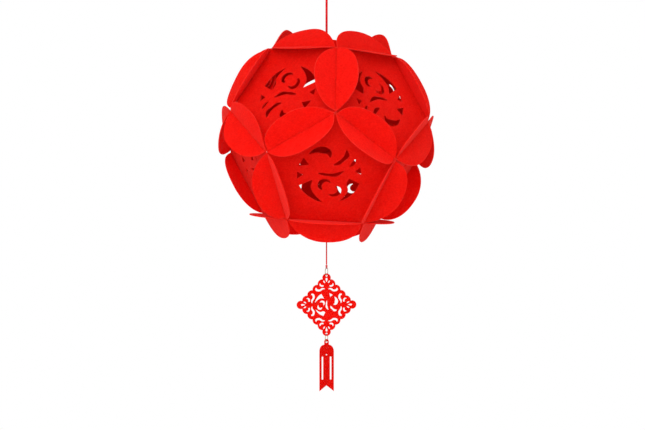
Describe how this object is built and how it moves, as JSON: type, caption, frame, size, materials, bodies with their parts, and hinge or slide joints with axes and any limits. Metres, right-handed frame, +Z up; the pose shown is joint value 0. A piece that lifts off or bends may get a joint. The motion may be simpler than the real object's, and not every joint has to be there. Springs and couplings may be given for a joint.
{
  "type": "hanging felt ball lantern",
  "caption": "Round hanging lantern of interlocked die-cut felt panels with leaf-like flaps and pierced scroll medallions, on a cord, with a pierced pendant and a forked tag on gold rings below.",
  "frame": {"origin": "inside top of the hanging loop, where a hook holds the lantern up", "axes": "+Z up, -Y to the front, the ball's front lower panel and the pendant's face towards -Y"},
  "size_m": [0.2976, 0.2982, 0.5792],
  "materials": {
    "red_felt": "matt non-woven felt",
    "red_cord": "twisted cord",
    "gold_wire": "polished"
  },
  "bodies": {
    "loop": {"hanging_loop": "red_cord"},
    "loop_knot": {"loop_knot": "red_cord"},
    "hanging_cord": {"hanging_cord": "red_cord", "upper_stop_knot": "red_cord"},
    "ball": {"panel_top": "red_felt", "panel_upper_1": "red_felt", "panel_upper_2": "red_felt", "panel_upper_3": "red_felt", "panel_upper_4": "red_felt", "panel_upper_5": "red_felt", "panel_lower_1": "red_felt", "panel_lower_2": "red_felt", "panel_lower_3": "red_felt", "panel_lower_4": "red_felt", "panel_lower_5": "red_felt", "panel_bottom": "red_felt", "upper_washer": "red_felt", "lower_washer": "red_felt"},
    "string_knot": {"lower_stop_knot": "red_cord"},
    "pendant_cord": {"pendant_cord": "red_cord"},
    "upper_ring": {"ring_knot": "red_cord", "upper_ring": "gold_wire"},
    "pendant": {"pendant": "red_felt"},
    "lower_ring": {"lower_ring": "gold_wire"},
    "tag": {"tag": "red_felt"}
  },
  "joints": [
    {"name": "cord_swing_front", "type": "hinge", "parent": "loop", "child": "loop_knot", "pos_m": [0, 0, -0.033], "axis": [1, 0, 0], "range_deg": [-30, 30]},
    {"name": "cord_swing_side", "type": "hinge", "parent": "loop_knot", "child": "hanging_cord", "pos_m": [0, 0, -0.033], "axis": [0, 1, 0], "range_deg": [-30, 30]},
    {"name": "ball_spin", "type": "hinge", "parent": "hanging_cord", "child": "ball", "pos_m": [0, 0, -0.225], "axis": [0, 0, 1], "continuous": true},
    {"name": "string_spin", "type": "hinge", "parent": "ball", "child": "string_knot", "pos_m": [0, 0, -0.33872], "axis": [0, 0, 1], "continuous": true},
    {"name": "string_swing", "type": "hinge", "parent": "string_knot", "child": "pendant_cord", "pos_m": [0, 0, -0.33872], "axis": [1, 0, 0], "range_deg": [-35, 35]},
    {"name": "upper_ring_swing", "type": "hinge", "parent": "pendant_cord", "child": "upper_ring", "pos_m": [0, 0, -0.4025], "axis": [0, 1, 0], "range_deg": [-35, 35]},
    {"name": "pendant_swing", "type": "hinge", "parent": "upper_ring", "child": "pendant", "pos_m": [0, 0, -0.4153], "axis": [0, 1, 0], "range_deg": [-30, 30]},
    {"name": "lower_ring_swing", "type": "hinge", "parent": "pendant", "child": "lower_ring", "pos_m": [0, 0, -0.497], "axis": [1, 0, 0], "range_deg": [-17, 17]},
    {"name": "tag_swing", "type": "hinge", "parent": "lower_ring", "child": "tag", "pos_m": [0, 0, -0.5074], "axis": [0, 1, 0], "range_deg": [-30, 30]}
  ]
}
